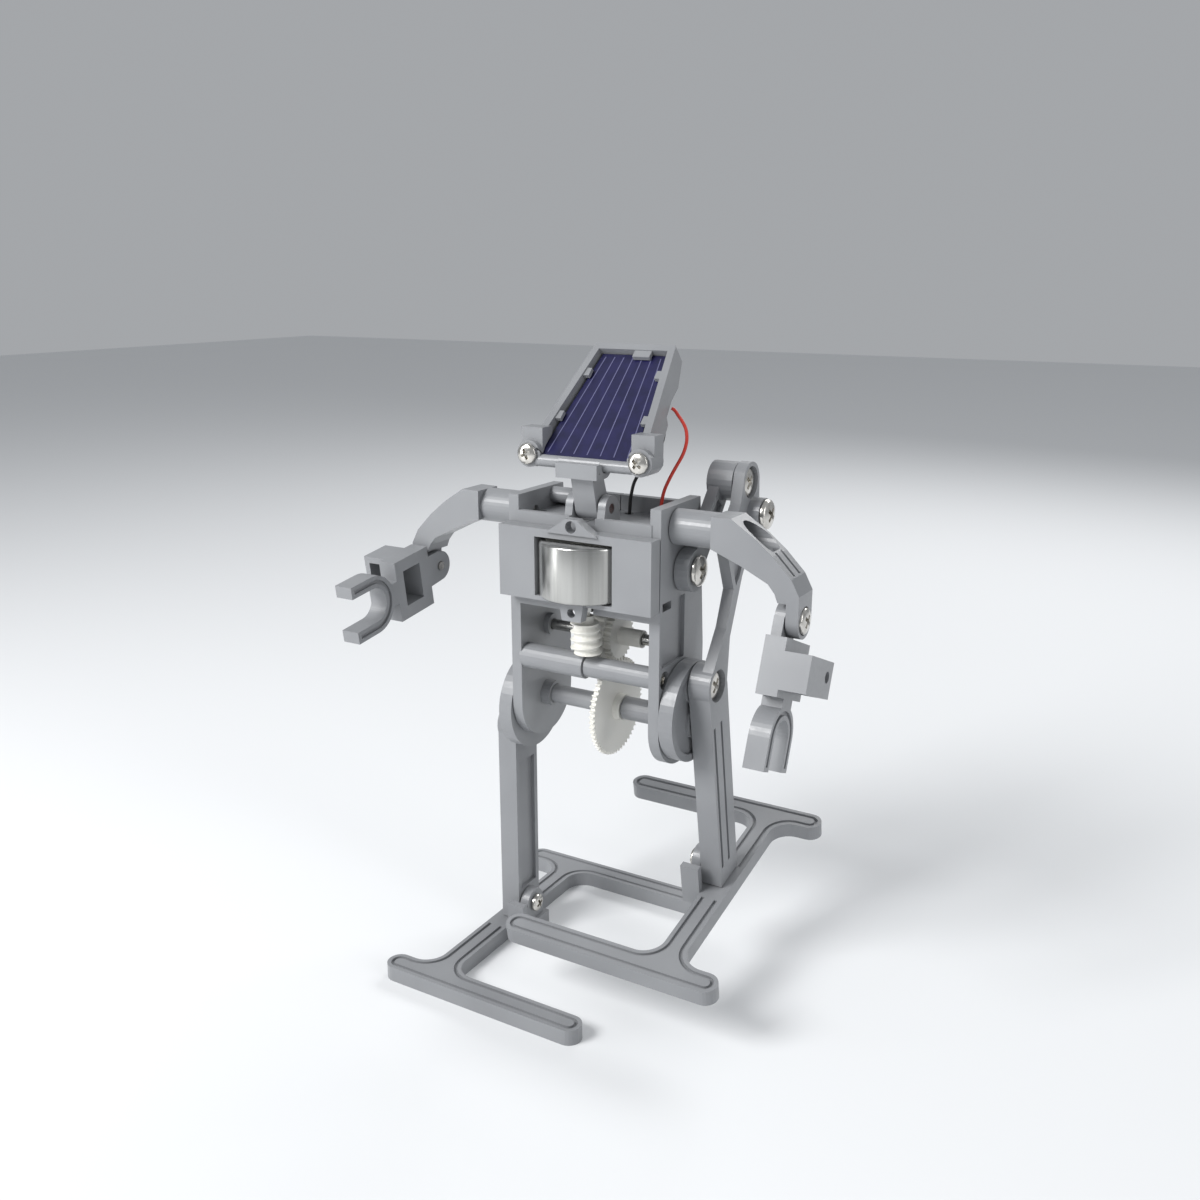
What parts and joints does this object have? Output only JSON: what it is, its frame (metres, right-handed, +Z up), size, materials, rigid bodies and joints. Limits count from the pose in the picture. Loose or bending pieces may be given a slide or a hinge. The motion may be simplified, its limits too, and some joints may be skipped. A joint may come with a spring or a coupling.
{
  "type": "solar robot kit",
  "caption": "Small two-legged walking robot of grey plastic with a solar panel head, a geared motor in its chest, crank-driven legs and C-shaped hands.",
  "frame": {"origin": "centre of the object's own outline on the ground, under the left foot's sole plane", "axes": "+X to the right seen from in front, +Y towards the robot's back, +Z up; the robot faces -Y"},
  "size_m": [0.1276, 0.092, 0.1735],
  "materials": {
    "grey_plastic": "satin moulded",
    "white_plastic": "satin moulded",
    "nickel": "nickel plated",
    "brushed_steel": "drawn and brushed",
    "solar_cell": "clear coated, with thin collector lines",
    "red_insulation": "satin",
    "black_insulation": "satin"
  },
  "bodies": {
    "torso": {"torso_left": "grey_plastic", "torso_right": "grey_plastic", "motor_cover": "grey_plastic", "motor_can": "brushed_steel", "motor_end_cap": "white_plastic", "idler_axle": "brushed_steel", "spacer_screw": "nickel", "left_rocker_screw": "nickel", "right_rocker_screw": "nickel", "left_shoulder_screw": "nickel", "right_shoulder_screw": "nickel", "neck_pin": "brushed_steel", "neck": "grey_plastic", "red_wire": "red_insulation", "black_wire": "black_insulation"},
    "crank": {"crank_axle": "grey_plastic", "crank_gear": "white_plastic", "left_crank_disc": "grey_plastic", "right_crank_disc": "grey_plastic", "left_crank_screw": "nickel", "right_crank_screw": "nickel"},
    "idler": {"idler_wheel": "white_plastic"},
    "worm_shaft": {"worm": "white_plastic"},
    "left_leg": {"left_leg": "grey_plastic", "left_foot": "grey_plastic", "left_tie_screw": "nickel", "left_stud_screw": "nickel", "left_ankle_screw": "nickel"},
    "left_rocker": {"left_rocker": "grey_plastic"},
    "left_upper_arm": {"left_upper_arm": "grey_plastic", "left_elbow_screw": "nickel"},
    "left_forearm": {"left_forearm": "grey_plastic"},
    "right_leg": {"right_leg": "grey_plastic", "right_foot": "grey_plastic", "right_tie_screw": "nickel", "right_stud_screw": "nickel", "right_ankle_screw": "nickel"},
    "right_rocker": {"right_rocker": "grey_plastic"},
    "right_upper_arm": {"right_upper_arm": "grey_plastic", "right_elbow_screw": "nickel"},
    "right_forearm": {"right_forearm": "grey_plastic"},
    "head": {"panel_frame": "grey_plastic", "solar_cell": "solar_cell", "left_panel_screw": "nickel", "right_panel_screw": "nickel"}
  },
  "joints": [
    {"name": "crank_turn", "type": "hinge", "parent": "torso", "child": "crank", "pos_m": [0, -0.00245, 0.0772], "axis": [1, 0, 0], "continuous": true},
    {"name": "idler_turn", "type": "hinge", "parent": "torso", "child": "idler", "pos_m": [0, -0.00125, 0.09711], "axis": [1, 0, 0], "continuous": true},
    {"name": "worm_turn", "type": "hinge", "parent": "torso", "child": "worm_shaft", "pos_m": [0, -0.01345, 0.099], "axis": [0, 0, 1], "continuous": true},
    {"name": "left_leg_turn", "type": "hinge", "parent": "crank", "child": "left_leg", "pos_m": [-0.0302, -0.00245, 0.066], "axis": [1, 0, 0], "continuous": true},
    {"name": "right_leg_turn", "type": "hinge", "parent": "crank", "child": "right_leg", "pos_m": [0.0302, -0.00245, 0.0884], "axis": [1, 0, 0], "continuous": true},
    {"name": "left_rocker_swing", "type": "hinge", "parent": "torso", "child": "left_rocker", "pos_m": [-0.0247, -0.00295, 0.1185], "axis": [1, 0, 0], "range_deg": [-6, 62]},
    {"name": "right_rocker_swing", "type": "hinge", "parent": "torso", "child": "right_rocker", "pos_m": [0.0247, -0.00295, 0.1185], "axis": [1, 0, 0], "range_deg": [-62, 6]},
    {"name": "left_shoulder_turn", "type": "hinge", "parent": "torso", "child": "left_upper_arm", "pos_m": [-0.04, -0.00695, 0.1304], "axis": [1, 0, 0], "range_deg": [-80, 30]},
    {"name": "right_shoulder_turn", "type": "hinge", "parent": "torso", "child": "right_upper_arm", "pos_m": [0.04, -0.00695, 0.1304], "axis": [1, 0, 0], "range_deg": [-80, 30]},
    {"name": "left_elbow_bend", "type": "hinge", "parent": "left_upper_arm", "child": "left_forearm", "pos_m": [-0.056, -0.00805, 0.1111], "axis": [1, 0, 0], "range_deg": [-8, 112]},
    {"name": "right_elbow_bend", "type": "hinge", "parent": "right_upper_arm", "child": "right_forearm", "pos_m": [0.056, -0.00805, 0.1111], "axis": [1, 0, 0], "range_deg": [-68, 52]},
    {"name": "head_tilt", "type": "hinge", "parent": "torso", "child": "head", "pos_m": [0, -0.01395, 0.1452], "axis": [1, 0, 0], "range_deg": [-12, 15], "deforming": ["red_wire", "black_wire"]}
  ],
  "couplings": [
    {"joint": "idler_turn", "follows": "crank_turn", "ratio": -2},
    {"joint": "worm_turn", "follows": "crank_turn", "ratio": -48},
    {"joint": "left_leg_turn", "follows": "crank_turn", "ratio": -1},
    {"joint": "right_leg_turn", "follows": "crank_turn", "ratio": -1}
  ]
}
